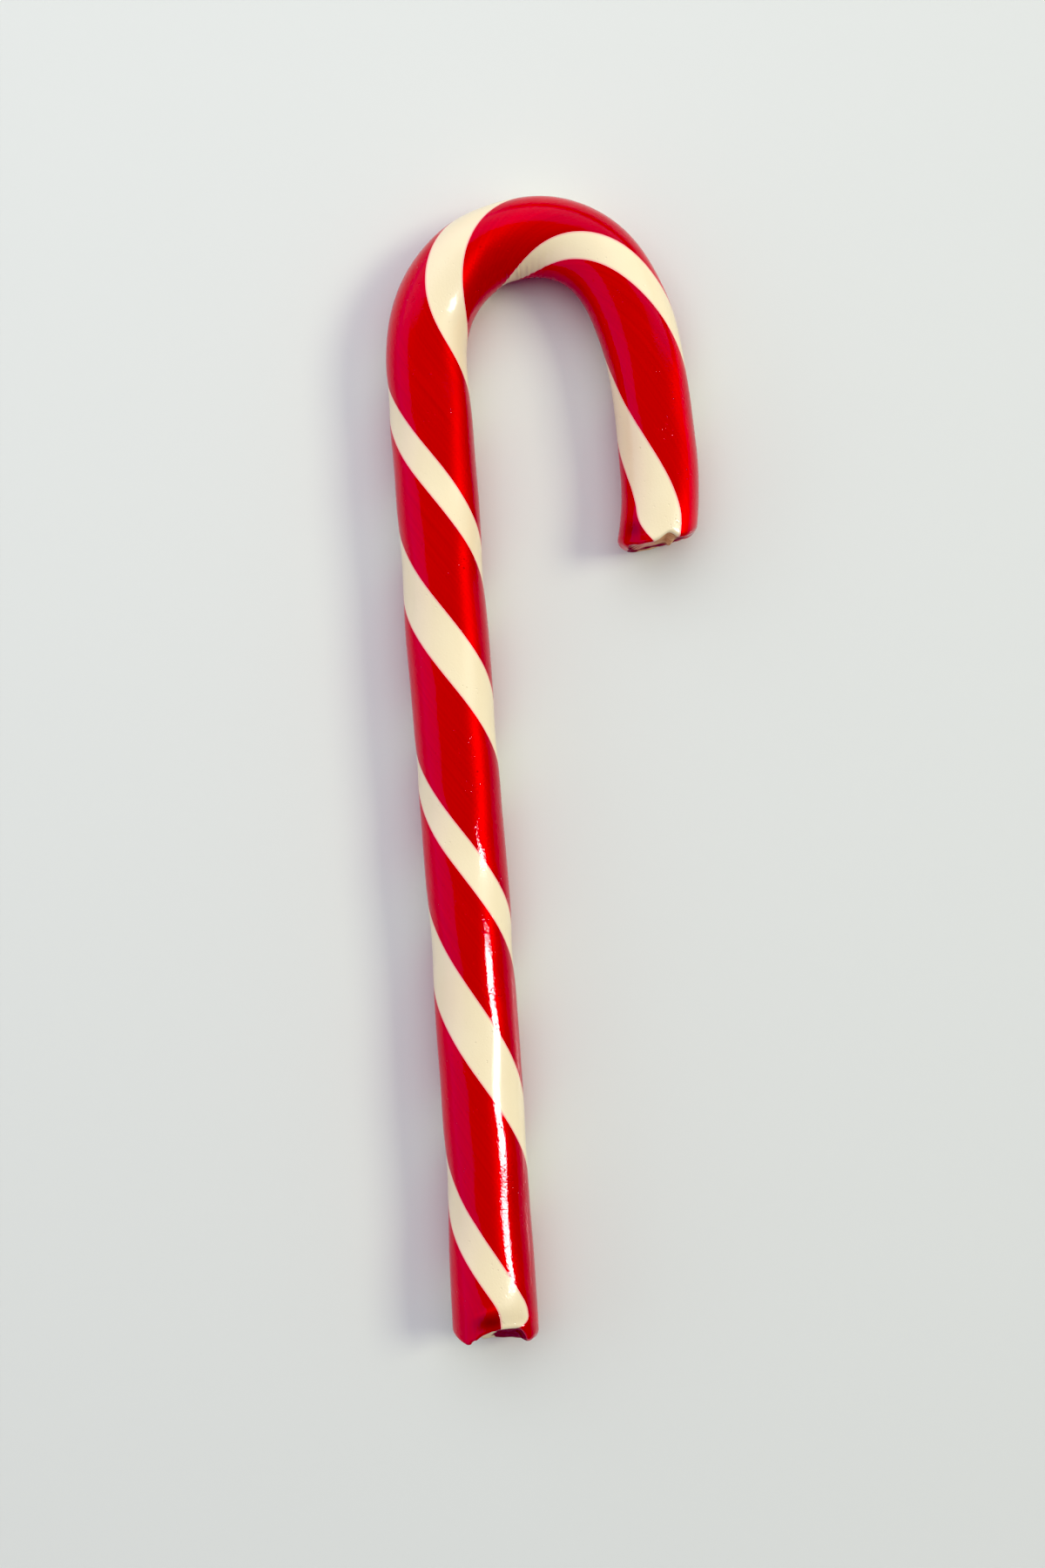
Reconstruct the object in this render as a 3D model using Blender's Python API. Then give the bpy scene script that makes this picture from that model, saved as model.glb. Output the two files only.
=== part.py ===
"""Candy cane: a hand-pulled sugar cane of round section, bent into a crook and lying on its side.

Three solids: the red body, and the two cream stripes that wind round it as a twist. Each stripe is a
strip of sugar let into a groove of the body, and runs from one cut end of the cane to the other.

Every surface point comes from one function of two parameters: the length along the centre line, s, and
the angle round the section, where 0 is the top of the lying cane and 90 degrees is the side that the
crook turns towards. Working units are millimetres and degrees; the meshes are made in metres.
"""
import bpy
import numpy as np

MM = 0.001

# Centre line, from the cut foot to the cut tip of the hook: length of each stretch, and how far it
# turns to the right, in degrees. A smoothing length eases one stretch into the next.
FOOT_HEADING = 88.4
STRETCHES = (
    (77.6, -1.83),   # lower shaft, bowed slightly to the left
    (78.0, 0.39),    # upper shaft
    (15.8, 50.65),   # crook, rising side
    (14.9, 50.24),   # crook, top
    (12.7, 53.61),   # crook, falling side, bent tightest
    (15.0, 22.09),   # into the leg
    (14.5, 1.50),    # leg
    (15.5, 19.0),    # tip, curling inwards
)
EASING = 2.5
EASING_REACH = 4.0       # the easing average is cut off at this many smoothing lengths
PATH_STEP = 0.25

# Section: diameter along the cane, as (s, diameter).
DIAMETERS = ((0.0, 13.7), (7.0, 13.6), (20.0, 13.0), (150.0, 13.0), (180.0, 12.6), (215.0, 12.4),
             (234.0, 12.3), (244.0, 12.1))
STRIPE_DIP = 0.20        # how far the cream lies below the round of the red
DIP_REACH = 1.6          # the dip fades out at this many half-widths of the stripe
REST_FLAT_DEPTH = 0.25   # how far the underside is pressed flat where the cane lay while it set

# Twist: degrees of turn for each millimetre of length, as (s, rate). It fades out at the cut foot.
TWIST_RATES = ((4.5, 0.0), (6.0, 1.5), (8.0, 5.3), (16.0, 5.8), (30.0, 5.3), (60.0, 5.5),
               (90.0, 6.2), (150.0, 6.2), (180.0, 6.7), (192.0, 4.6), (212.0, 4.5), (222.0, 5.0),
               (232.0, 4.2), (236.0, 3.4), (238.5, 0.6), (245.0, 0.0))
WIDE_START_ANGLE = 229.15      # angle of the wide stripe's middle at the foot
NARROW_STRIPE_OFFSET = -199.0  # narrow stripe's middle, measured from the wide stripe's
WIDE_HALF_ANGLES = ((1.0, 44.0), (8.0, 33.5), (35.0, 33.5), (60.0, 39.0), (110.0, 34.5), (150.0, 38.0),
                    (175.0, 31.0), (215.0, 38.0), (230.0, 33.0), (238.0, 33.0), (242.0, 22.0))
NARROW_HALF_ANGLES = ((3.0, 20.0), (9.0, 22.5), (20.0, 27.0), (75.0, 23.0), (135.0, 23.0), (182.0, 21.5),
                      (212.0, 25.5))

STRIPE_DEPTH = 1.7       # thickness of a stripe at its middle
STRIPE_EDGE_DEPTH = 0.8  # and near its edges, further out than this share of its half-width:
EDGE_FROM = 0.5
JOINT_CLEARANCE = 0.30   # between a stripe and its groove
WALL_SLANT = 0.80        # cosine of the stripe's slope, so the clearance holds across a slanting wall

# Cut ends. Snipping pinches the foot, so its lower lip reaches further than its upper lip.
FOOT_ROUNDING = 1.3      # radius that rounds the rim of the foot's cut
TIP_ROUNDING = 2.2       # and of the hook's
RIM_PLACES = (0.0, 0.06, 0.35, 1.0)  # sections across a rounded rim, as shares of its radius
FOOT_LOWER_LIP = 0.95    # s of the foot's lower lip
FOOT_UPPER_LIP = 3.4     # s of its upper lip
SETBACK_START = -0.35    # height in radii from which the cut leans back to the upper lip
SETBACK_POWER = 1.5
FOOT_CORNERS = ((-0.65, 0.9), (0.74, 0.5))  # drawn-out corners: sideways place in radii, and length
CORNER_WIDTH = 0.22
FOOT_PINCH = 0.16        # share of the height lost at the foot
PINCH_LENGTH = 2.6
TIP_S = 242.0            # s of the hook's cut, at the middle
TIP_SLANT = 1.7          # the inner side of the hook reaches this much further

SECTION_SPACING = 2.68
BAND_SEGMENTS = (8, 10)      # facets across the two red bands
WIDE_SEGMENTS = 5
NARROW_SEGMENTS = 4
GROOVE_PLACES = (-0.86, -0.32, 0.32, 0.86)  # points across the hidden side of a stripe, in half-widths
CAP_RINGS = (0.72, 0.36)     # rings across a cut face, as shares of the outline

RED = (0.62, 0.004, 0.006)
CREAM = (0.88, 0.76, 0.56)
ROUGHNESS = 0.18


def along(table, s):
    """Value at s, read off a table of (s, value) with straight lines between its rows."""
    places, values = zip(*table)
    return np.interp(s, places, values)


def running_total(values, step):
    """Integral of evenly spaced values from the first one, by trapezia."""
    return np.concatenate([[0.0], np.cumsum((values[1:] + values[:-1]) * step / 2)])


def centre_line():
    """Stations, positions and headings: the curvature of each stretch, eased by a bell-shaped average,
    integrates to the heading, and the heading to the position."""
    lengths = np.array([length for length, _ in STRETCHES])
    turns = np.radians([turn for _, turn in STRETCHES])
    stations = np.arange(0.0, lengths.sum() + PATH_STEP, PATH_STEP)
    which = np.searchsorted(np.cumsum(lengths), stations, side="right").clip(0, len(lengths) - 1)
    curvature = (turns / lengths)[which]
    end = EASING_REACH * EASING
    reach = np.arange(-end, end + PATH_STEP, PATH_STEP)
    bell = np.exp(-0.5 * (reach / EASING) ** 2)
    padded = np.pad(curvature, len(reach) // 2, mode="edge")
    curvature = np.convolve(padded, bell / bell.sum(), mode="valid")[:len(stations)]
    heading = np.radians(FOOT_HEADING) - running_total(curvature, PATH_STEP)
    x = running_total(np.cos(heading), PATH_STEP)
    y = running_total(np.sin(heading), PATH_STEP)
    return stations, x, y, heading


PATH = centre_line()


def twist_angle(s):
    """Angle of the wide stripe's middle at s: the start angle less the twist so far."""
    stations = PATH[0]
    turned = running_total(along(TWIST_RATES, stations), PATH_STEP)
    return WIDE_START_ANGLE - np.interp(s, stations, turned)


def stripes(s):
    """(middle angle, half angle) of the wide and of the narrow stripe at s."""
    wide = twist_angle(s)
    return (wide, along(WIDE_HALF_ANGLES, s)), (wide + NARROW_STRIPE_OFFSET, along(NARROW_HALF_ANGLES, s))


def stripe_dip(s, angle):
    """Depth below the round: over each stripe a hump, (1 - x^2)^2, that fades out in the red."""
    dip = 0.0
    for middle, half in stripes(s):
        away = (angle - middle + 180.0) % 360.0 - 180.0
        dip = dip + STRIPE_DIP * np.clip(1 - (away / half / DIP_REACH) ** 2, 0, 1) ** 2
    return dip


def foot_face(side, height):
    """s of the foot's cut at a place in the section, both in radii: an upper lip set back from the
    lower one, and two drawn-out corners."""
    leaning = np.clip(height - SETBACK_START, 0, 1) ** SETBACK_POWER
    lip = FOOT_LOWER_LIP + (FOOT_UPPER_LIP - FOOT_LOWER_LIP) * leaning
    for place, length in FOOT_CORNERS:
        lip = lip - length * np.exp(-((side - place) / CORNER_WIDTH) ** 2)
    return lip


def tip_face(side):
    """s of the hook's cut: a plane slanting across the leg."""
    return TIP_S + TIP_SLANT * side


def place(s_even, angle, share, depth):
    """World point in millimetres.

    s_even runs evenly from the foot's cut, 0, to the tip's, 1, so that the first and last sections lie
    in the cut faces. Within the rounding of the nearer cut, the section shrinks by a quarter circle.
    share scales the section about its middle, and depth goes straight in from its surface. Every
    section lies on the floor, z = 0, with its underside pressed flat by REST_FLAT_DEPTH; over a stripe
    the underside stays as far above the floor as the stripe dips."""
    side = np.sin(np.radians(angle)) * share
    height = np.cos(np.radians(angle)) * share
    first, last = foot_face(side, height), tip_face(side)
    s = first + (last - first) * s_even
    rounding = np.where(s_even < 0.5, FOOT_ROUNDING, TIP_ROUNDING)
    inward = np.clip(1 - np.minimum(s - first, last - s) / rounding, 0, 1)
    shrink = rounding * (1 - np.sqrt(1 - inward ** 2))
    half = along(DIAMETERS, s) / 2
    dip = stripe_dip(s, angle)
    reach = (half - dip - shrink - depth) * share
    stations, path_x, path_y, heading = PATH
    turn = np.interp(s, stations, heading)
    pinch = 1 - FOOT_PINCH * np.exp(-((s - first) / PINCH_LENGTH) ** 2)
    across = reach * np.sin(np.radians(angle))
    z = half - REST_FLAT_DEPTH + reach * np.cos(np.radians(angle)) * pinch
    x = np.interp(s, stations, path_x) + across * np.sin(turn)
    y = np.interp(s, stations, path_y) - across * np.cos(turn)
    return np.stack([x, y, np.maximum(z, dip)], axis=-1)


def sections():
    """Even places of the sections: close together over the rounded rims, evenly spaced between."""
    foot = np.array(RIM_PLACES) * FOOT_ROUNDING / TIP_S
    tip = 1 - np.array(RIM_PLACES[::-1]) * TIP_ROUNDING / TIP_S
    count = int(round(TIP_S / SECTION_SPACING))
    return np.concatenate([foot[:-1], np.linspace(foot[-1], tip[0], count), tip[1:]])


def stripe_outline(which, s, segments):
    """Angles and depths round a stripe's section: its outer side, then its hidden side."""
    middle, half = stripes(s)[which]
    outer = np.linspace(-1, 1, segments + 1)
    hidden = np.array(GROOVE_PLACES[::-1])
    depth = np.where(np.abs(hidden) > EDGE_FROM, STRIPE_EDGE_DEPTH, STRIPE_DEPTH)
    angles = middle[:, None] + half[:, None] * np.concatenate([outer, hidden])
    return angles, np.concatenate([np.zeros(segments + 1), depth])


def body_outline(s):
    """Angles and depths round the body's section: a red band, the narrow stripe's groove, the other red
    band and the wide stripe's groove. Each groove clears its stripe all round."""
    (wide, wide_half), (narrow, narrow_half) = stripes(s)
    clear = np.degrees(JOINT_CLEARANCE / WALL_SLANT / (along(DIAMETERS, s) / 2))
    groove = np.array(GROOVE_PLACES)
    depth = np.where(np.abs(groove) > EDGE_FROM, STRIPE_EDGE_DEPTH, STRIPE_DEPTH) + JOINT_CLEARANCE
    bands = ((wide + wide_half + clear, narrow + 360 - narrow_half - clear),
             (narrow + 360 + narrow_half + clear, wide + 360 - wide_half - clear))
    grooves = ((narrow + 360, narrow_half + clear), (wide + 360, wide_half + clear))
    angles, depths = [], []
    for (start, end), (middle, half), segments in zip(bands, grooves, BAND_SEGMENTS):
        angles.append(start[:, None] + (end - start)[:, None] * np.linspace(0, 1, segments + 1))
        angles.append(middle[:, None] + half[:, None] * groove)
        depths += [np.zeros(segments + 1), depth]
    return np.concatenate(angles, axis=1), np.concatenate(depths)


def swept_solid(angles, depths, cap):
    """Points and faces of a solid swept through all sections. Every four-sided facet is split along the
    diagonal that turns least, which keeps the round surface convex."""
    rings = place(sections()[:, None], angles, 1.0, depths)
    count, around = rings.shape[:2]
    points = [rings.reshape(-1, 3)]
    ring = np.arange(around)
    after = np.roll(ring, -1)
    faces = []
    for row in range(count - 1):
        low, high = row * around, (row + 1) * around
        for a, b in zip(ring, after):
            faces += [(low + a, low + b, high + b), (low + a, high + b, high + a)]
    total = count * around
    for row, s_even in ((0, 0.0), (count - 1, 1.0)):
        more_points, more_faces = cap(angles[row], depths, s_even, row * around, total)
        points.append(more_points)
        faces += more_faces
        total += len(more_points)
    return np.concatenate(points), faces


def body_cap(angles, depths, s_even, first, total):
    """Cut face of the body: rings that shrink towards its middle, then a fan."""
    around = len(angles)
    rings = [place(s_even, angles, share, depths) for share in CAP_RINGS]
    middle = place(s_even, np.zeros(1), 0.0, 0.0)
    starts = [first] + [total + around * i for i in range(len(CAP_RINGS))]
    faces = []
    for outer, inner in zip(starts, starts[1:]):
        for a in range(around):
            b = (a + 1) % around
            faces += [(outer + a, inner + a, inner + b), (outer + a, inner + b, outer + b)]
    centre = total + around * len(CAP_RINGS)
    faces += [(starts[-1] + a, centre, starts[-1] + (a + 1) % around) for a in range(around)]
    if s_even > 0:
        faces = [face[::-1] for face in faces]
    return np.concatenate(rings + [middle]), faces


def stripe_cap(angles, depths, s_even, first, _total):
    """Cut face of a stripe: triangles between its outer side and its hidden side."""
    outer = [i for i, depth in enumerate(depths) if depth == 0.0]
    hidden = [i for i, depth in enumerate(depths) if depth > 0.0][::-1]
    faces = []
    a = b = 0
    while a < len(outer) - 1 or b < len(hidden) - 1:
        next_outer = angles[outer[min(a + 1, len(outer) - 1)]]
        next_hidden = angles[hidden[min(b + 1, len(hidden) - 1)]]
        if b == len(hidden) - 1 or (a < len(outer) - 1 and next_outer <= next_hidden):
            faces.append((first + outer[a], first + hidden[b], first + outer[a + 1]))
            a += 1
        else:
            faces.append((first + outer[a], first + hidden[b], first + hidden[b + 1]))
            b += 1
    if s_even > 0:
        faces = [face[::-1] for face in faces]
    return np.empty((0, 3)), faces


def sugar(name, colour):
    """Glossy boiled-sugar material."""
    material = bpy.data.materials.new(name)
    material.use_nodes = True
    shader = material.node_tree.nodes["Principled BSDF"]
    shader.inputs["Base Color"].default_value = (*colour, 1.0)
    shader.inputs["Roughness"].default_value = ROUGHNESS
    shader.inputs["Metallic"].default_value = 0.0
    material.diffuse_color = (*colour, 1.0)
    return material


def add_solid(name, points, faces, material):
    """Mesh object in metres, smooth on the round and sharp at the cuts."""
    mesh = bpy.data.meshes.new(name)
    mesh.from_pydata((points * MM).tolist(), [], [tuple(int(i) for i in face) for face in faces])
    mesh.update()
    mesh.shade_smooth()
    mesh.set_sharp_from_angle(angle=np.radians(50))
    mesh.materials.append(material)
    solid = bpy.data.objects.new(name, mesh)
    bpy.context.collection.objects.link(solid)


def main():
    for old in list(bpy.data.objects):
        bpy.data.objects.remove(old, do_unlink=True)
    s = sections() * TIP_S
    solids = {
        "red_body": (*swept_solid(*body_outline(s), body_cap), sugar("red_sugar", RED)),
        "wide_cream_stripe": (*swept_solid(*stripe_outline(0, s, WIDE_SEGMENTS), stripe_cap),
                              sugar("wide_cream_sugar", CREAM)),
        "narrow_cream_stripe": (*swept_solid(*stripe_outline(1, s, NARROW_SEGMENTS), stripe_cap),
                                sugar("narrow_cream_sugar", CREAM)),
    }
    # The origin is the middle of the whole cane's box, on the surface that it lies on.
    everything = np.concatenate([points for points, _, _ in solids.values()])
    low, high = everything.min(axis=0), everything.max(axis=0)
    origin = np.array([(low[0] + high[0]) / 2, (low[1] + high[1]) / 2, low[2]])
    for name, (points, faces, material) in solids.items():
        add_solid(name, points - origin, faces, material)


main()
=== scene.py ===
"""Looks of a hand-pulled candy cane, lying on a white laminate table in soft studio light.

The cane is three pieces of sugar that meet without a seam: a red body, and a wide and a narrow cream
stripe twisted round it. Each is a surface of two parameters, worked out as whole arrays: the length s
along the centre line, and the place in the section. Lengths are in millimetres and angles in degrees
until a mesh is made. Angle 0 is the top of the lying cane, and 90 the side that the crook turns to.
"""
import math
import bpy
import numpy as np
from mathutils import Matrix, Vector


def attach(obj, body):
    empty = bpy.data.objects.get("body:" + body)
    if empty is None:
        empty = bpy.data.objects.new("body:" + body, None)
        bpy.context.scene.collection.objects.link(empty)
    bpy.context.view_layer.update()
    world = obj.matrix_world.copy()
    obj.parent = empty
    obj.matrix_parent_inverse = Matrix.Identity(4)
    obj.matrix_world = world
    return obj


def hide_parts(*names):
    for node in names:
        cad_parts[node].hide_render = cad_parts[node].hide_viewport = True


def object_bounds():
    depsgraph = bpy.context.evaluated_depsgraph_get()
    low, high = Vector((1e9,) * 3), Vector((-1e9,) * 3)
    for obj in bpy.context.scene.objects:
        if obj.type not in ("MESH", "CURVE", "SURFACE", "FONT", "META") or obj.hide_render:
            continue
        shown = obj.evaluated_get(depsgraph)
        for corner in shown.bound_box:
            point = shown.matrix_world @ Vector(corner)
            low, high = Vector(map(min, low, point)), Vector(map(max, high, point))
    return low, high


MM = 0.001

# Centre line, from the cut foot to the cut tip: (length, turn to the right in degrees).
FOOT_HEADING = 88.4
STRETCHES = (
    (77.6, -1.83),   # lower shaft, bowed slightly to the left
    (78.0, 0.39),    # upper shaft
    (15.8, 50.65),   # crook, rising side
    (14.9, 50.24),   # crook, top
    (12.7, 53.61),   # crook, falling side, bent tightest
    (15.0, 22.09),   # into the leg
    (14.5, 1.50),    # leg
    (15.5, 19.0),    # tip, curling inwards
)
EASING = 2.5             # the curvature is averaged over a bell this wide
EASING_REACH = 4.0       # and the bell is cut off at this many widths
PATH_STEP = 0.25

# Section: diameter along the cane, as (s, diameter).
SHAFT_DIAMETER = 13.0
DIAMETERS = ((0.0, 13.7), (7.0, 13.6), (20.0, SHAFT_DIAMETER), (150.0, SHAFT_DIAMETER), (180.0, 12.6),
             (215.0, 12.4), (234.0, 12.3), (244.0, 12.1))
STRIPE_DIP = 0.20        # how far the cream lies below the round of the red
DIP_REACH = 1.6          # the dip fades out at this many half-widths of the stripe
REST_FLAT_DEPTH = 0.25   # how far the underside is pressed flat where the cane lay while it set
CROOK_TOP_S = 180.0      # the middle of the wrinkles
WRINKLE_HEIGHT = 0.10
WRINKLE_SPACING = 1.35

# Twist: degrees of turn for each millimetre of length, as (s, rate). It fades out at the cut foot.
TWIST_RATES = ((4.5, 0.0), (6.0, 1.5), (8.0, 5.3), (16.0, 5.8), (30.0, 5.3), (60.0, 5.5),
               (90.0, 6.2), (150.0, 6.2), (180.0, 6.7), (192.0, 4.6), (212.0, 4.5), (222.0, 5.0),
               (232.0, 4.2), (236.0, 3.4), (238.5, 0.6), (245.0, 0.0))
WIDE_START_ANGLE = 229.15
NARROW_STRIPE_OFFSET = -199.0
WIDE_HALF_ANGLES = ((1.0, 44.0), (8.0, 33.5), (35.0, 33.5), (60.0, 39.0), (110.0, 34.5), (150.0, 38.0),
                    (175.0, 31.0), (215.0, 38.0), (230.0, 31.0), (238.0, 36.5))
NARROW_HALF_ANGLES = ((3.0, 22.0), (9.0, 22.5), (20.0, 27.0), (75.0, 23.0), (135.0, 23.0), (182.0, 21.5),
                      (212.0, 25.5))
# One edge of the stripe that ends on top of each cut curls in: (by so many degrees, from s, within mm).
FOOT_CURL = (18.0, 5.2, 1.7)
TIP_CURL = (31.0, 237.0, 4.9)
STRIPE_DEPTH = 1.7       # in the middle of a stripe
STRIPE_EDGE_DEPTH = 0.8

# Cut ends.
SIDE_ROUNDING = 1.8      # rounding of the flanks into a cut
TOP_ROUNDING = 0.55      # rounding of the top into a cut, where the snips left it crisp
RIM_ROWS = 9             # rows of points across a rounded rim
CUT_REACH = 9.0          # how far in from a cut the rows of points still follow its shape
FOOT_LOWER_LIP = 0.05    # s of the foot's lower lip
FOOT_SETBACK = 3.5       # how much further in its upper lip is, between its two drawn-out corners
# Share of that setback across the foot, as (side, share).
FOOT_SETBACKS = ((-0.68, 0.0), (-0.60, 0.08), (-0.50, 0.40), (-0.40, 0.62), (-0.28, 0.76), (-0.07, 0.94),
                 (0.1, 1.0), (0.60, 1.0), (0.70, 0.84), (0.80, 0.45), (0.9, 0.3))
FOOT_LEFT_SETBACK = 1.2  # the left flank is this much further in than the rest
FOOT_CORNER = 0.45       # how far its corner is drawn out again
FOOT_HOLLOW = 0.5        # depth of the hollow in the middle of the foot's cut
CHIP_DEPTH = 0.06
FOOT_PINCH = 0.16        # share of the height lost where the snips closed
PINCH_LENGTH = 2.6
TIP_S = 241.8
TIP_SLANT = 1.9          # how much further out the tip's cut is for each radius to the side
TIP_NOTCH = 1.15         # depth of the torn notch under the wide stripe's end
TIP_FLAP = 1.0           # height of the flap left standing in it
# Painted shade: spots just in from each cut where the red is painted darker for the shade of the valley
# that the snips left: (s, reach in mm, angle, reach in degrees).
PAINTED_SHADE_SPOTS = ((4.9, 1.3, -5.0, 22.0), (240.4, 1.8, 40.0, 18.0))

ROW_SPACING = 0.5        # between rows of points along the cane
COLUMN_SPACING = 0.30    # between columns round it
NARROW, WIDE = 1, 3      # which band, counted round the cane, each stripe is
CAP_ROWS = 22            # steps from the middle of a cut face to its rim
WALL_STEPS = 3           # steps down the wall of a stripe's groove
ARCH_STEPS = 14          # and across its arched bottom
SETTLING_STEPS = 12      # half-steps in which a point's length and angle come to agree
SWEEP_UNIT = 100.0       # mm to one unit of the sweep UV map
SHARP_EDGE = 45.0        # faces that meet at more than this angle show a crisp edge

# Sugar: its pairs of colours are a dark and a pale fibre where it is broken.
SUGAR_IOR = 1.5
GRAIN_DEPTH = 0.000017   # metres
FRACTURE_DEPTH = 0.0002  # metres
BLEED_WIDTH = 0.45       # how far red dye has bled into the cream
WINE = "#640008", "#980814"
STRAW = "#F0DCB0", "#FFF2D0"
CARAMEL = "#B87030", "#FFD8A8"
PINK = "#D8745A", "#FFC8B0"


def along(table, s):
    """Value at s, read off a table of (s, value) with straight lines between its rows."""
    places, values = zip(*table)
    return np.interp(s, places, values)


def eased_along(table, s):
    """The same with the corners rounded: the mean of five readings over 12 mm."""
    return sum(along(table, s + shift) for shift in (-6.0, -3.0, 0.0, 3.0, 6.0)) / 5


def smooth(start, end, x):
    """0 at start, 1 at end, and 3t^2 - 2t^3 between them."""
    t = np.clip((x - start) / (end - start), 0, 1)
    return t * t * (3 - 2 * t)


def bell(x, middle, width):
    """Bell curve of height 1."""
    return np.exp(-((x - middle) / width) ** 2)


def running_total(values, step):
    """Integral of evenly spaced values from the first one, by trapezia."""
    return np.concatenate([[0.0], np.cumsum((values[1:] + values[:-1]) * step / 2)])


def centre_line():
    """Stations, positions and headings: the curvature of each stretch, eased by a bell-shaped average,
    integrates to the heading, and the heading to the position."""
    lengths = np.array([length for length, _ in STRETCHES])
    turns = np.radians([turn for _, turn in STRETCHES])
    stations = np.arange(0.0, lengths.sum() + PATH_STEP, PATH_STEP)
    which = np.searchsorted(np.cumsum(lengths), stations, side="right").clip(0, len(lengths) - 1)
    curvature = (turns / lengths)[which]
    reach = np.arange(-EASING_REACH * EASING, EASING_REACH * EASING + PATH_STEP, PATH_STEP)
    weights = np.exp(-0.5 * (reach / EASING) ** 2)
    padded = np.pad(curvature, len(reach) // 2, mode="edge")
    curvature = np.convolve(padded, weights / weights.sum(), mode="valid")[:len(stations)]
    heading = np.radians(FOOT_HEADING) - running_total(curvature, PATH_STEP)
    x = running_total(np.cos(heading), PATH_STEP)
    y = running_total(np.sin(heading), PATH_STEP)
    return stations, x, y, heading


PATH = centre_line()


def stripes(s):
    """(middle angle, half angle) of the wide and of the narrow stripe at s: the start angle less the
    twist so far. At each cut one edge of the stripe that ends on top curls in along a parabola."""
    turned = np.interp(s, PATH[0], running_total(along(TWIST_RATES, PATH[0]), PATH_STEP))
    wide, narrow = WIDE_START_ANGLE - turned, WIDE_START_ANGLE + NARROW_STRIPE_OFFSET - turned
    wide_half, narrow_half = eased_along(WIDE_HALF_ANGLES, s), along(NARROW_HALF_ANGLES, s)
    angle, start, reach = FOOT_CURL
    foot = angle / 2 * np.clip((start - s) / reach, 0, 1) ** 2
    angle, start, reach = TIP_CURL
    tip = angle / 2 * np.clip((s - start) / reach, 0, 1) ** 2
    return (wide - tip, wide_half - tip), (narrow - foot, narrow_half - foot)


def stripe_dip(s, angle):
    """Depth below the round: over each stripe a hump, (1 - x^2)^2, that fades out in the red."""
    dip = 0.0
    for middle, half in stripes(s):
        away = (angle - middle + 180.0) % 360.0 - 180.0
        dip = dip + STRIPE_DIP * np.clip(1 - (away / half / DIP_REACH) ** 2, 0, 1) ** 2
    return dip


def unevenness(s, angle):
    """Slow swells of the radius that a hand leaves: a sum of long waves along and round the cane."""
    a = np.radians(angle)
    return (0.045 * np.sin(s / 5.3 + 1.2 * np.sin(a + 0.7)) + 0.035 * np.sin(s / 3.1 - 2 * a + 0.4)
            + 0.030 * np.sin(s / 8.7 + 3 * a) + 0.015 * np.sin(s / 1.7 + 2 * a + 2.0))


def wrinkles(s, angle):
    """Small folds across the sugar on the inner side of the crook, where bending crowded it."""
    where = bell(s, CROOK_TOP_S, 8.0) * smooth(15.0, 60.0, angle) * (1 - smooth(100.0, 140.0, angle))
    return WRINKLE_HEIGHT * where * np.sin(2 * math.pi * s / WRINKLE_SPACING + 1.5 * np.sin(s / 1.9))


def painted_valley_shade(s, angle):
    """Painted shade: how much darker the red is painted just in from each cut, for the shade of the valley
    there: a bell along the cane times a bell round it."""
    spots = (bell(s, *spot[:2]) * bell(angle, *spot[2:]) for spot in PAINTED_SHADE_SPOTS)
    return np.minimum(sum(spots), 1.0)


def foot_cut(side, height):
    """s of the snipped foot at a place in the section, in radii: a slanting cut whose upper lip is set
    back between two drawn-out corners, with a hollow and small chips."""
    set_back = FOOT_SETBACK * along(FOOT_SETBACKS, side) * np.clip((height + 0.75) / 1.6, 0, 1) ** 1.3
    corner = FOOT_CORNER * bell(side, -0.63, 0.07) * bell(height, 0.2, 0.8)
    left = FOOT_LEFT_SETBACK * smooth(-0.42, -0.62, side)
    hollow = FOOT_HOLLOW * np.clip(1 - side ** 2 - height ** 2, 0, 1)
    chips = CHIP_DEPTH * np.sin(9 * side + 5 * height) * np.sin(7 * height - 4 * side + 1)
    return FOOT_LOWER_LIP + set_back + left - corner + hollow + chips


def tip_cut(side, height):
    """s of the hook's broken tip: a slanting plane, with a torn notch under the end of the wide stripe, a
    flap left standing in it, and shell-shaped ripples."""
    notch = TIP_NOTCH * bell(side, -0.28, 0.22) * smooth(0.1, 0.95, height)
    flap = TIP_FLAP * bell(side, -0.36, 0.09) * bell(height, 0.45, 0.3)
    ripples = 0.07 * np.sin(10 * np.hypot(side + 0.4, height - 0.9)) + 0.05 * np.sin(13 * side - 6 * height)
    return TIP_S + TIP_SLANT * side - notch + flap + ripples


def point_s(even, side, height):
    """s of a point: even times the length, moved near each end by as much as the cut there departs from
    its flat place; the move fades out as (1 - x)^2 over CUT_REACH."""
    flat = even * TIP_S
    foot_fade = np.clip(1 - flat / CUT_REACH, 0, 1) ** 2
    tip_fade = np.clip(1 - (TIP_S - flat) / CUT_REACH, 0, 1) ** 2
    return flat + foot_cut(side, height) * foot_fade + (tip_cut(side, height) - TIP_S) * tip_fade


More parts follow.
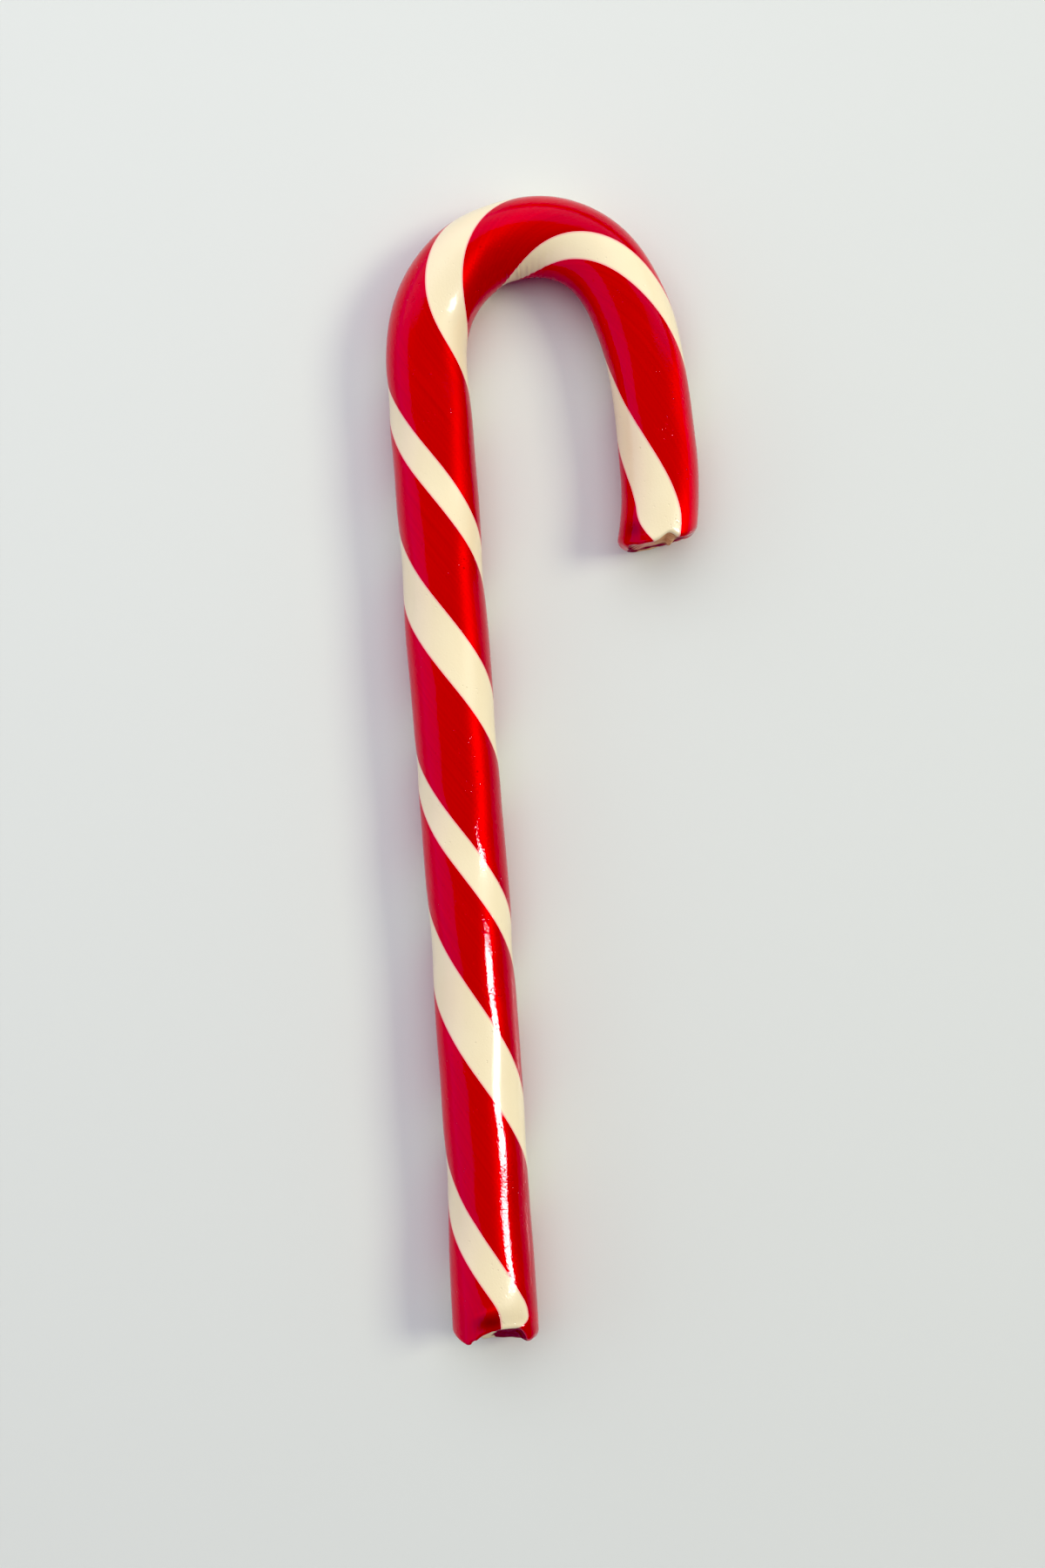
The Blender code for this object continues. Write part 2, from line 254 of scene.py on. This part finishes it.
def cane_point(even, side, height):
    """Point of the cane in millimetres, in the centre line's own frame.

    even runs from the foot's cut, 0, to the tip's, 1; side and height are the place in the section, in
    radii. Within the rounding of the nearer cut the section shrinks by a quarter circle, and near the
    foot its height is pinched. Every section lies on the floor, z = 0, flattened underneath."""
    angle = np.degrees(np.arctan2(side, height))
    s = point_s(even, side, height)
    from_foot, from_tip = s - foot_cut(side, height), tip_cut(side, height) - s
    rounding = TOP_ROUNDING + (SIDE_ROUNDING - TOP_ROUNDING) * smooth(45.0, 75.0, abs(angle))
    inward = np.clip(1 - np.minimum(from_foot, from_tip) / rounding, 0, 1)
    shrink = rounding * (1 - np.sqrt(1 - inward ** 2))
    half = eased_along(DIAMETERS, s) / 2
    dip = stripe_dip(s, angle)
    uneven = (unevenness(s, angle) + wrinkles(s, angle)) * smooth(-60.0, 20.0, 90 * height)
    reach = half - dip - shrink + uneven
    stations, path_x, path_y, heading = PATH
    turn = np.interp(s, stations, heading)
    pinch = 1 - FOOT_PINCH * np.exp(-(from_foot / PINCH_LENGTH) ** 2)
    across = reach * side
    z = half - REST_FLAT_DEPTH + reach * height * pinch
    x = np.interp(s, stations, path_x) + across * np.sin(turn)
    y = np.interp(s, stations, path_y) - across * np.cos(turn)
    return np.stack([x, y, np.maximum(z, dip)], axis=-1)


def rows_along():
    """Even places of the rows: close together over the rounded rims, evenly spaced between."""
    rim = (1 - np.cos(np.linspace(0, math.pi / 2, RIM_ROWS))) * SIDE_ROUNDING / TIP_S
    count = int(round(TIP_S / ROW_SPACING))
    return np.concatenate([rim[:-1], np.linspace(rim[-1], 1 - rim[-1], count), 1 - rim[-2::-1]])


def hidden_side():
    """The side of a stripe that lies in its groove: places across, from 0 to 1, and depths. It goes
    straight in at one edge, along a shallow arch, and straight out at the other."""
    wall = np.linspace(0, STRIPE_EDGE_DEPTH, WALL_STEPS + 1)[1:-1]
    across = np.linspace(0, 1, ARCH_STEPS + 1)
    arch = STRIPE_EDGE_DEPTH + (STRIPE_DEPTH - STRIPE_EDGE_DEPTH) * (1 - (2 * across - 1) ** 2)
    places = np.concatenate([np.zeros(len(wall)), across, np.ones(len(wall))])
    return places, np.concatenate([wall, arch, wall[::-1]])


def edge_angles(s):
    """The five angles that part red from cream, in order round the cane: a red band, the narrow stripe, a
    red band, the wide stripe, and the first edge again."""
    (wide, wide_half), (narrow, narrow_half) = stripes(s)
    first = wide + wide_half
    return np.stack([first, narrow + 360 - narrow_half, narrow + 360 + narrow_half, wide + 360 - wide_half,
                     first + 360])


def surface_columns(band):
    """Columns of points over the visible face of a band: (band, place across it, depth)."""
    edges = edge_angles(TIP_S / 2)
    width = math.radians(edges[band + 1] - edges[band]) * SHAFT_DIAMETER / 2
    count = int(round(width / COLUMN_SPACING))
    return [(band, across, 0.0) for across in np.linspace(0, 1, count + 1)]


def hidden_columns(band):
    """Columns of points over the hidden side of a stripe."""
    return [(band, across, depth) for across, depth in zip(*hidden_side())]


def in_section(angle, share):
    """Place in the section, in radii, of an angle and a share of the radius: (side, height)."""
    return np.sin(np.radians(angle)) * share, np.cos(np.radians(angle)) * share


def spread(band, across, depth):
    """Grids of a piece without its cut faces, a row for each place along the cane and a column for each of
    its outline: (even place, angle, share of the radius, distance from the nearest edge between red and
    cream, way round the twisting sugar).

    A cut moves a point along the cane, and the stripes turn meanwhile, so that its s and its angle depend
    on each other. They are found together by going half the way each time."""
    even = rows_along()[:, None] + np.zeros(len(band))
    s = even * TIP_S
    share = 1 - depth / (along(DIAMETERS, s) / 2)
    column = np.arange(len(band))
    for _ in range(SETTLING_STEPS):
        edges = edge_angles(s)
        low, high = edges[band, :, column].T, edges[band + 1, :, column].T
        angle = low + (high - low) * across
        s = (s + point_s(even, *in_section(angle, share))) / 2
    width = np.radians(high - low) * along(DIAMETERS, s) / 2
    edge = np.where(depth > 0, 0.0, width * np.minimum(across, 1 - across))
    round_way = np.radians(angle - stripes(s)[0][0]) * SHAFT_DIAMETER / 2
    return even, angle, share, edge, round_way


def with_caps(grid, middles=None):
    """A grid with its first and last rows carried on over the cut faces: repeated, or drawn together
    towards a middle value for each end."""
    grow = np.linspace(0, 1, CAP_ROWS + 1)[1:-1, None]
    foot, tip = (row + 0 * grow if middles is None else middle + (row - middle) * grow
                 for row, middle in zip((grid[0], grid[-1]), middles or (0, 0)))
    return np.concatenate([foot, grid, tip[::-1]])


def with_poles(grid, foot, tip):
    """The values of a grid one after another, then those of its two poles."""
    return np.concatenate([grid.ravel(), [foot, tip]]).astype(np.float32)


def grid_faces(rows, around):
    """Faces of a grid that is closed round the section, then a fan of triangles about the pole at each
    end, and the row and the column that each of the grid's faces starts from."""
    row, column = np.divmod(np.arange((rows - 1) * around), around)
    here, beside = row * around + column, row * around + (column + 1) % around
    quads = np.stack([here, beside, beside + around, here + around], axis=-1)
    ring, last, pole = np.arange(around), (rows - 1) * around, rows * around
    beside = (ring + 1) % around
    foot_fan = np.stack([0 * ring + pole, beside, ring], axis=-1)
    tip_fan = np.stack([0 * ring + pole + 1, last + ring, last + beside], axis=-1)
    return quads.tolist() + foot_fan.tolist() + tip_fan.tolist(), row, column


def sugar_piece(name, outline, surface, broken_surface):
    """A closed swept piece as one grid, closed round the section, with a pole at each end.

    outline lists its columns. Its rows grow out from the middle of the section over the foot's cut, run
    along the cane, and shrink again over the tip's cut. Each point carries its s and its place round the
    twisting sugar (the sweep UV map), its distance from the nearest edge between red and cream (edge_mm),
    how much painted shade darkens the red just in from the cuts (painted_valley_shade), and its place in
    the section with 1 at the tip (section)."""
    band, across, depth = (np.array(values) for values in zip(*outline))
    even, angle, share, edge, round_way = spread(band, across, depth)

    # The body's caps shrink to the centre of the section. A ribbon's shrink to the middle of its own arc,
    # in angle and in radius, so that they stay clear of the body's.
    goes_round = band.min() != band.max()
    middle_angles = None if goes_round else (angle[0].mean(), angle[-1].mean())
    middle_shares = (0.0, 0.0) if goes_round else (share[0].mean(), share[-1].mean())
    poles = np.stack(in_section(middle_angles or (0.0, 0.0), middle_shares))
    side, height = in_section(with_caps(angle, middle_angles), with_caps(share, middle_shares))
    even, edge, round_way = with_caps(even), with_caps(edge), with_caps(round_way)
    s = point_s(even, side, height)
    points = np.concatenate([cane_point(even, side, height).reshape(-1, 3),
                             cane_point(np.array([0.0, 1.0]), *poles)])
    rows, around = side.shape
    faces, row, column = grid_faces(rows, around)
    mesh = bpy.data.meshes.new(name)
    mesh.from_pydata(points.tolist(), [], faces)

    mesh.attributes.new("edge_mm", "FLOAT", "POINT").data.foreach_set("value", with_poles(edge, 1, 1))
    # Painted shade: how much the red is painted darker just in from each cut, kept for its material.
    valley_shade = with_poles(painted_valley_shade(s, np.degrees(np.arctan2(side, height))), 0, 0)
    mesh.attributes.new("painted_valley_shade", "FLOAT", "POINT").data.foreach_set("value", valley_shade)
    section = [with_poles(side, *poles[0]), with_poles(height, *poles[1]), with_poles(even > 0.5, 0, 1)]
    mesh.attributes.new("section", "FLOAT_VECTOR", "POINT").data.foreach_set(
        "vector", np.stack(section, axis=-1).ravel())
    corners = np.empty(len(mesh.loops), np.int32)
    mesh.loops.foreach_get("vertex_index", corners)
    sweep = np.stack([with_poles(s, 0, TIP_S), with_poles(round_way, 0, 0)], axis=-1) / SWEEP_UNIT
    mesh.uv_layers.new(name="sweep").data.foreach_set("uv", sweep[corners].ravel())

    # The hidden sides count as broken too: behind a cut that slants they can show through by a hair.
    inside = (depth > 0) & (np.roll(depth, -1) > 0)
    broken = (row < CAP_ROWS - 1) | (row >= rows - CAP_ROWS) | inside[column]
    mesh.materials.append(surface)
    mesh.materials.append(broken_surface)
    mesh.polygons.foreach_set("material_index", np.append(broken, np.ones(2 * around)).astype(np.int32))
    mesh.shade_smooth()
    mesh.set_sharp_from_angle(angle=math.radians(SHARP_EDGE))
    piece = bpy.data.objects.new(name, mesh)
    bpy.context.scene.collection.objects.link(piece)
    return piece


def linear(hex_colour):
    """sRGB hex colour as linear RGBA."""
    values = [int(hex_colour[i:i + 2], 16) / 255 for i in (1, 3, 5)]
    return tuple(v / 12.92 if v <= 0.04045 else ((v + 0.055) / 1.055) ** 2.4 for v in values) + (1.0,)


def add(tree, kind, inputs=None, **settings):
    """Adds a node. inputs maps a socket's name or number to a value, to the socket that feeds it, or to a
    node whose first output in use feeds it."""
    node = tree.nodes.new(kind)
    for key, value in settings.items():
        setattr(node, key, value)
    for key, value in (inputs or {}).items():
        if isinstance(value, bpy.types.Node):
            value = next(output for output in value.outputs if output.enabled)
        if isinstance(value, bpy.types.NodeSocket):
            tree.links.new(value, node.inputs[key])
        else:
            node.inputs[key].default_value = value
    return node


def new_material(name):
    """An empty node material and its tree."""
    material = bpy.data.materials.new(name)
    material.use_nodes = True
    material.node_tree.nodes.clear()
    return material, material.node_tree


def region(tree, *limits):
    """Mask of a region: for each (value, start, end) an eased ramp from 0 at start to 1 at end, all
    multiplied together."""
    mask = None
    for value, start, end in limits:
        ramp = add(tree, "ShaderNodeMapRange", {"Value": value, "From Min": start, "From Max": end},
                   interpolation_type="SMOOTHSTEP")
        if mask:
            ramp = add(tree, "ShaderNodeMath", {0: mask, 1: ramp}, operation="MULTIPLY")
        mask = ramp
    return mask


def layers(tree, ground, *coats):
    """Colours one over another: each (mask, colour) covers what is under it where its mask is 1."""
    for mask, colour in coats:
        ground = add(tree, "ShaderNodeMix", {"Factor": mask, "A": ground, "B": colour}, data_type="RGBA")
    return ground


def sugar_gloss(tree):
    """What both sugars' surfaces share, as inputs of the shader: the grain's bump under a clear face, and
    the tangent along the twist, across which the air lines spread a highlight."""
    place = add(tree, "ShaderNodeTexCoord").outputs["Object"]
    sweep = add(tree, "ShaderNodeUVMap", uv_map="sweep")
    # Grain of 0.3 mm: coarser than the real one, so that it shows.
    grain = add(tree, "ShaderNodeTexNoise", {"Vector": place, "Scale": 3200.0, "Detail": 1.0})
    # Scratches along the twist, 0.3 mm apart.
    stretched = add(tree, "ShaderNodeMapping", {"Vector": sweep, "Scale": (40.0, 330.0, 1.0)})
    scratches = add(tree, "ShaderNodeTexNoise", {"Vector": stretched, "Scale": 1.0, "Detail": 1.0})
    height = add(tree, "ShaderNodeMath", {0: scratches, 1: 0.5, 2: grain}, operation="MULTIPLY_ADD")
    # Burst bubbles: pits up to 0.3 mm across and four times as deep as the grain, in patches, that catch
    # the light as single sparks.
    bubbles = add(tree, "ShaderNodeTexVoronoi", {"Vector": place, "Scale": 1100.0})
    patches = add(tree, "ShaderNodeTexNoise", {"Vector": place, "Scale": 220.0, "Detail": 1.0})
    pits = region(tree, (bubbles, 0.20, 0.0), (patches, 0.50, 0.60))
    height = add(tree, "ShaderNodeMath", {0: pits, 1: -4.0, 2: height}, operation="MULTIPLY_ADD")
    bump = add(tree, "ShaderNodeBump", {"Height": height, "Strength": 1.0, "Distance": GRAIN_DEPTH})
    tangent = add(tree, "ShaderNodeTangent", direction_type="UV_MAP", uv_map="sweep")
    return {"Roughness": 0.45, "IOR": SUGAR_IOR, "Anisotropic Rotation": 0.25, "Tangent": tangent,
            "Normal": bump, "Coat IOR": SUGAR_IOR, "Coat Normal": bump}


def broken_sugar(name, foot_pair, tip_pair):
    """Sugar as it shows on the snipped foot and the torn tip: dull and fibrous. Straw-coloured sugar is
    dragged over the left and the lower lip of the foot's cut; the tip has a caramel tear and a pink lip."""
    material, tree = new_material(name)
    section = add(tree, "ShaderNodeAttribute", attribute_name="section").outputs["Vector"]
    side, height, at_tip = add(tree, "ShaderNodeSeparateXYZ", {"Vector": section}).outputs
    stretched = add(tree, "ShaderNodeMapping", {
        "Vector": section, "Rotation": (0, 0, 0.25), "Scale": (2.0, 16.0, 1.0)})
    fibres = add(tree, "ShaderNodeTexNoise", {"Vector": stretched, "Scale": 1.0, "Detail": 2.0})

    def fibrous(pair):
        return layers(tree, linear(pair[0]), (fibres, linear(pair[1])))

    torn_edge = add(tree, "ShaderNodeTexNoise", {"Vector": section, "Scale": 1.8, "Detail": 4.0})
    torn_side = add(tree, "ShaderNodeMath", {0: torn_edge, 1: 0.9, 2: side}, operation="MULTIPLY_ADD")
    torn_height = add(tree, "ShaderNodeMath", {0: torn_edge, 1: 0.3, 2: height}, operation="MULTIPLY_ADD")
    smear = region(tree, (torn_side, 0.44, 0.34), (height, 0.95, 0.80))
    lower_lip = region(tree, (torn_height, -0.45, -0.63))
    foot = layers(tree, fibrous(foot_pair), (smear, fibrous(STRAW)), (lower_lip, fibrous(STRAW)))
    lip = region(tree, (side, -0.15, 0.05), (side, 0.85, 0.6), (height, -0.1, 0.2), (fibres, 0.32, 0.50))
    tear = region(tree, (side, -0.56, -0.44), (side, 0.14, 0.0), (height, 0.10, 0.40))
    tip = layers(tree, fibrous(tip_pair), (lip, fibrous(PINK)), (tear, fibrous(CARAMEL)))
    grain = add(tree, "ShaderNodeTexNoise", {"Vector": section, "Scale": 9.0, "Detail": 2.0})
    bump = add(tree, "ShaderNodeBump", {"Height": grain, "Strength": 1.0, "Distance": FRACTURE_DEPTH})
    shader = add(tree, "ShaderNodeBsdfPrincipled", {
        "Base Color": layers(tree, foot, (at_tip, tip)), "Roughness": 0.6, "IOR": SUGAR_IOR,
        "Specular IOR Level": 0.1, "Normal": bump,
        "Coat Weight": 0.15, "Coat Roughness": 0.05, "Coat IOR": SUGAR_IOR, "Coat Normal": bump})
    add(tree, "ShaderNodeOutputMaterial", {"Surface": shader})
    return material


def pulled_red_sugar():
    """Boiled sugar dyed red, pulled and twisted by hand. Pulling draws its air into fine lines along the
    twist, which give a satin streak of the sugar's own red, spread across the lines; over that lies a
    clear hard gloss whose grain breaks a highlight into flecks."""
    material, tree = new_material("pulled_red_sugar")
    sweep = add(tree, "ShaderNodeUVMap", uv_map="sweep")
    # Air lines about 0.5 mm apart that follow the twist for 20 mm and more.
    stretched = add(tree, "ShaderNodeMapping", {"Vector": sweep, "Scale": (5.0, 200.0, 1.0)})
    lines = add(tree, "ShaderNodeTexNoise", {"Vector": stretched, "Scale": 1.0, "Detail": 2.0})
    # Painted shade: just in from each cut the red is painted a darker #8C0004, standing in for the shade of
    # the valley there.
    valley_shade = add(tree, "ShaderNodeAttribute", attribute_name="painted_valley_shade").outputs["Fac"]
    colour = layers(tree, linear("#BA0000"), (lines, linear("#D60004")), (valley_shade, linear("#8C0004")))
    shader = add(tree, "ShaderNodeBsdfPrincipled", {
        **sugar_gloss(tree), "Base Color": colour, "Metallic": 0.45, "Anisotropic": 0.9,
        "Specular IOR Level": 0.2, "Specular Tint": linear("#FF2020"),
        "Coat Weight": 0.9, "Coat Roughness": 0.03})
    add(tree, "ShaderNodeOutputMaterial", {"Surface": shader})
    return material


def pulled_cream_sugar():
    """Boiled sugar pulled until air turned it opaque: cream, with a softer gloss, and a thin pink line
    where red dye has bled in from its edges."""
    material, tree = new_material("pulled_cream_sugar")
    place = add(tree, "ShaderNodeTexCoord").outputs["Object"]
    # Clouds 8 mm across, of cream with more air and with less.
    clouds = add(tree, "ShaderNodeTexNoise", {"Vector": place, "Scale": 120.0, "Detail": 2.0})
    edge = add(tree, "ShaderNodeAttribute", attribute_name="edge_mm").outputs["Fac"]
    bleed = region(tree, (edge, BLEED_WIDTH, 0.0))
    colour = layers(tree, linear("#EFDCB6"), (clouds, linear("#F5E6C4")), (bleed, linear("#F0A8A0")))
    shader = add(tree, "ShaderNodeBsdfPrincipled", {
        **sugar_gloss(tree), "Base Color": colour, "Anisotropic": 0.5,
        "Coat Weight": 0.6, "Coat Roughness": 0.10})
    add(tree, "ShaderNodeOutputMaterial", {"Surface": shader})
    return material


def white_laminate():
    """Melamine table top: plain white under a clear glossy face."""
    material, tree = new_material("white_laminate")
    shader = add(tree, "ShaderNodeBsdfPrincipled", {
        "Base Color": linear("#DCDEDC"), "Roughness": 0.6, "IOR": 1.5,
        "Coat Weight": 0.4, "Coat Roughness": 0.05, "Coat IOR": 1.5})
    add(tree, "ShaderNodeOutputMaterial", {"Surface": shader})
    return material


# The camera and the lights are squared to the table, on which the shaft leans to the left by this angle.
LEAN = 4.38
CAMERA_PLACE = (-6.97, -2.18)     # mm from the middle of the cane's box
CAMERA_HEIGHT = 348.8
LENS, SENSOR = 50.0, 36.0
NEAREST_SHOWN = 0.01              # metres
TABLE_REACH = 3.0                 # metres, half its width
TABLE_GAP = 0.00002               # metres, how far it lies under the cane
BLACK_POINT = (0.03, 0.05, 0.03)  # light this faint shows as none
SET_SQUARE = Matrix.Rotation(math.radians(-LEAN), 4, "Z")


def table_top():
    """A wide flat floor just under the cane."""
    mesh = bpy.data.meshes.new("table_top")
    quarters = (-1, -1), (1, -1), (1, 1), (-1, 1)
    corners = [(x * TABLE_REACH, y * TABLE_REACH, -TABLE_GAP) for x, y in quarters]
    mesh.from_pydata(corners, [], [(0, 1, 2, 3)])
    floor = bpy.data.objects.new("table_top", mesh)
    bpy.context.scene.collection.objects.link(floor)
    mesh.materials.append(white_laminate())


def camera(middle):
    """Looks straight down, rolled so that the shaft leans."""
    data = bpy.data.cameras.new("camera")
    data.lens, data.sensor_width = LENS, SENSOR
    data.clip_start = NEAREST_SHOWN
    eye = bpy.data.objects.new("camera", data)
    eye.matrix_world = Matrix.Translation(middle + Vector((*CAMERA_PLACE, CAMERA_HEIGHT)) * MM) @ SET_SQUARE
    bpy.context.scene.collection.objects.link(eye)
    bpy.context.scene.camera = eye


def panel(name, azimuth, elevation, distance, size, radiance, colour="#FFFFFF", diffuse=True, glossy=True):
    """A light panel that faces the cane. Its azimuth is counted from the right, as the camera sees it,
    towards the top, and its size is its width and height in degrees as seen from the cane. Its power is
    its radiance times pi times its area."""
    data = bpy.data.lights.new(name, "AREA")
    data.shape = "RECTANGLE"
    data.size, data.size_y = (2 * distance * math.tan(math.radians(angle / 2)) for angle in size)
    data.energy = radiance * math.pi * data.size * data.size_y
    data.color = linear(colour)[:3]
    light = bpy.data.objects.new(name, data)
    turned = SET_SQUARE @ Matrix.Rotation(math.radians(azimuth), 4, "Z")
    place = turned @ Matrix.Rotation(math.radians(-elevation), 4, "Y") @ Vector((distance, 0, 0))
    light.matrix_world = Matrix.Translation(place) @ (-place).to_track_quat("-Z", "Y").to_matrix().to_4x4()
    light.visible_diffuse, light.visible_glossy, light.visible_camera = diffuse, glossy, False
    bpy.context.scene.collection.objects.link(light)


def room():
    """The room round the table: what lights the cane softly, and what its gloss shows. Its walls lie
    one over another, each a region of the direction looked in."""
    world = bpy.data.worlds.new("room")
    world.use_nodes = True
    tree = world.node_tree
    tree.nodes.clear()
    direction = add(tree, "ShaderNodeTexCoord").outputs["Generated"]
    squared = add(tree, "ShaderNodeMapping", {"Vector": direction, "Rotation": (0, 0, math.radians(LEAN))})
    x, y, z = add(tree, "ShaderNodeSeparateXYZ", {"Vector": squared}).outputs
    slanting = add(tree, "ShaderNodeMath", {0: y, 1: 0.5, 2: z}, operation="MULTIPLY_ADD")
    dim_right = region(tree, (x, 0.1, 0.5), (z, 0.52, 0.46))
    bright_left = region(tree, (x, -0.1, -0.3), (slanting, 0.74, 0.69))
    bright_back = region(tree, (y, 0.15, 0.45), (z, 0.93, 0.80), (z, 0.08, 0.25))
    gloss = layers(tree, (0.45, 0.45, 0.45, 1), (dim_right, (0.22, 0.22, 0.24, 1)),
                   (bright_left, (1.25, 0.95, 1.35, 1)), (bright_back, (1.3, 1.3, 1.4, 1)))
    towards_back = region(tree, (y, -0.7, 0.4))
    soft = layers(tree, (0.18, 0.19, 0.21, 1), (towards_back, (0.59, 0.615, 0.665, 1)))
    glossy_ray = add(tree, "ShaderNodeLightPath").outputs["Is Glossy Ray"]
    background = add(tree, "ShaderNodeBackground", {"Color": layers(tree, soft, (glossy_ray, gloss))})
    add(tree, "ShaderNodeOutputWorld", {"Surface": background})
    bpy.context.scene.world = world


def studio():
    """A soft window on the right with a bright strip in it, a big dim screen on the left and another
    overhead, in the pale room. The window lights the cane; its strip is what the gloss shows."""
    panel("window", 12.0, 43.0, 3.0, (20.0, 17.0), 13.5, "#FFFFE0", glossy=False)
    panel("window_strip", -8.0, 42.0, 3.0, (6.5, 17.0), 44.0, diffuse=False)
    panel("left_screen", 160.0, 20.0, 0.8, (90.0, 30.0), 0.8, "#F0F4FF", glossy=False)
    panel("ceiling_screen", 105.0, 62.0, 0.45, (60.0, 60.0), 1.1, "#FAFAFF", glossy=False)
    room()
    view = bpy.context.scene.view_settings
    view.view_transform = "Standard"
    view.use_curve_mapping = True
    view.curve_mapping.black_level = BLACK_POINT
    view.curve_mapping.update()


def cane(middle):
    """The three pieces of sugar, moved so that the middle of their box stands over the given place."""
    body = surface_columns(0) + hidden_columns(NARROW) + surface_columns(2) + hidden_columns(WIDE)

    def ribbon(band):
        return surface_columns(band) + hidden_columns(band)[::-1]

    red = pulled_red_sugar(), broken_sugar("broken_red_sugar", WINE, WINE)
    cream = pulled_cream_sugar(), broken_sugar("broken_cream_sugar", STRAW, CARAMEL)
    pieces = (
        (sugar_piece("red_sugar_body", body, *red), "red_body", "red_sugar"),
        (sugar_piece("wide_cream_ribbon", ribbon(WIDE), *cream), "wide_cream_stripe", "cream_sugar"),
        (sugar_piece("narrow_cream_ribbon", ribbon(NARROW), *cream), "narrow_cream_stripe", "cream_sugar"),
    )
    corners = np.array([corner for piece, *_ in pieces for corner in piece.bound_box])
    low, high = Vector(corners.min(axis=0)), Vector(corners.max(axis=0))
    shift = Matrix.Translation(-Vector(((low.x + high.x) / 2, (low.y + high.y) / 2, 0.0)))
    place = Matrix.Translation(middle) @ Matrix.Scale(MM, 4) @ shift
    for piece, node, slot in pieces:
        piece.data.transform(place)
        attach(piece, "root")
        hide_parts(node)


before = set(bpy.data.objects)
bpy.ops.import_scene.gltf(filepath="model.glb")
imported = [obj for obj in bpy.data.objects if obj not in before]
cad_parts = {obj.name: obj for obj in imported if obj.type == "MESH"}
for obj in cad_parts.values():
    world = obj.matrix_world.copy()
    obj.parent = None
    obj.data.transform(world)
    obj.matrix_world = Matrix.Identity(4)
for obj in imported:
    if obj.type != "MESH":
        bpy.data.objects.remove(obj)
CAD_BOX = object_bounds()
LOW, HIGH = (Vector(corner) for corner in CAD_BOX)
MIDDLE = Vector(((LOW.x + HIGH.x) / 2, (LOW.y + HIGH.y) / 2, LOW.z))
camera(MIDDLE)
table_top()
studio()
cane(MIDDLE)
